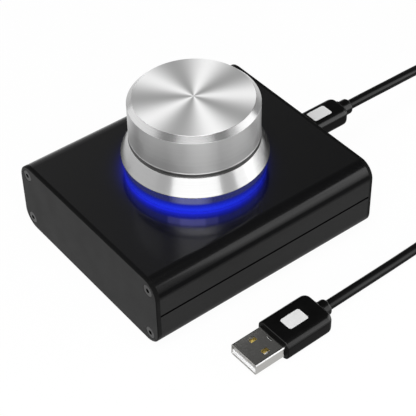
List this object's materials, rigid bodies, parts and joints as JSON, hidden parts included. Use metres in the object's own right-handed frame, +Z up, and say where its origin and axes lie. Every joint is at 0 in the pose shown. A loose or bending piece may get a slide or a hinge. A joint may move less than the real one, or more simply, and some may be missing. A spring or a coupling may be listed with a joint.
{
  "type": "usb volume control knob",
  "caption": "Desk volume knob: turned aluminium dial that turns and presses, on a flat black aluminium box with a blue light ring and a black cable.",
  "frame": {"origin": "on the surface the feet stand on, below the middle of the box, measured without the cable and its plugs", "axes": "+X along the box's extrusion, towards the cable socket; +Z up, along the knob's axis; +Y to the back"},
  "size_m": [0.2345, 0.1072, 0.0573],
  "materials": {
    "black_anodised": "fine bead-blasted black anodised, satin",
    "black_steel": "black zinc",
    "foot_rubber": "matte",
    "board_green": "solder mask",
    "board_white": "white solder mask",
    "chip_black": "moulded",
    "component_grey": "tinned",
    "white_plastic": "moulded",
    "wire_red": "insulation",
    "steel": "plated",
    "plug_steel": "nickel plated, satin",
    "brass": "turned",
    "gold_contacts": "gold plated",
    "led_blue": "lit",
    "light_ring_blue": "clear acrylic, lit blue",
    "polished_aluminium": "polished",
    "turned_aluminium": "spun face, satin side",
    "grip_black": "moulded, semi-gloss",
    "label_white": "plain patch",
    "cable_black": "smooth jacket, semi-gloss",
    "tie_black": "hook and loop strap"
  },
  "bodies": {
    "housing": {"top_shell": "black_anodised", "bottom_shell": "black_anodised", "left_end_plate": "black_anodised", "right_end_plate": "black_anodised", "left_plate_screws": "black_steel", "right_plate_screws": "black_steel", "rubber_feet": "foot_rubber", "main_board": "board_green", "controller_chip": "chip_black", "small_components": "component_grey", "led_connector": "white_plastic", "led_wires": "wire_red", "socket_shell": "steel", "socket_tongue": "chip_black", "encoder_housing": "chip_black", "encoder_frame": "steel", "encoder_bushing": "brass", "bushing_spacer": "turned_aluminium", "detent_spring": "steel", "switch_dome": "steel", "encoder_terminals": "brass", "bushing_washer": "steel", "bushing_nut": "steel", "led_board_pad": "white_plastic", "led_board": "board_white", "ring_leds": "led_blue", "light_ring": "light_ring_blue", "knob_skirt": "polished_aluminium", "skirt_screws": "black_steel", "box_plug_grip": "grip_black", "box_plug_shell": "steel", "box_plug_label": "label_white", "usb_plug_grip": "grip_black", "usb_plug_shell": "plug_steel", "usb_plug_insulator": "white_plastic", "usb_plug_contacts": "gold_contacts", "usb_plug_label": "label_white", "cable_box_side": "cable_black", "cable_usb_side": "cable_black", "cable_coil": "cable_black", "cable_tie": "tie_black"},
    "press_stage": {"switch_plunger": "white_plastic"},
    "knob": {"knob_cap": "turned_aluminium", "knob_insert": "chip_black", "insert_clip_ring": "steel", "encoder_shaft": "steel"},
    "contact_wheel": {"encoder_rotor": "white_plastic"}
  },
  "joints": [
    {"name": "knob_press", "type": "slide", "parent": "housing", "child": "press_stage", "axis": [0, 0, -1], "range_m": [0, 0.0005], "stiffness_N_per_m": 6000, "springref_m": -0.0005, "deforming": ["switch_dome"]},
    {"name": "knob_turn", "type": "hinge", "parent": "press_stage", "child": "knob", "pos_m": [0, 0, 0.0427], "axis": [0, 0, 1], "continuous": true},
    {"name": "wheel_turn", "type": "hinge", "parent": "housing", "child": "contact_wheel", "pos_m": [0, 0, 0.02], "axis": [0, 0, 1], "continuous": true}
  ],
  "couplings": [
    {"joint": "wheel_turn", "follows": "knob_turn", "ratio": 1}
  ]
}
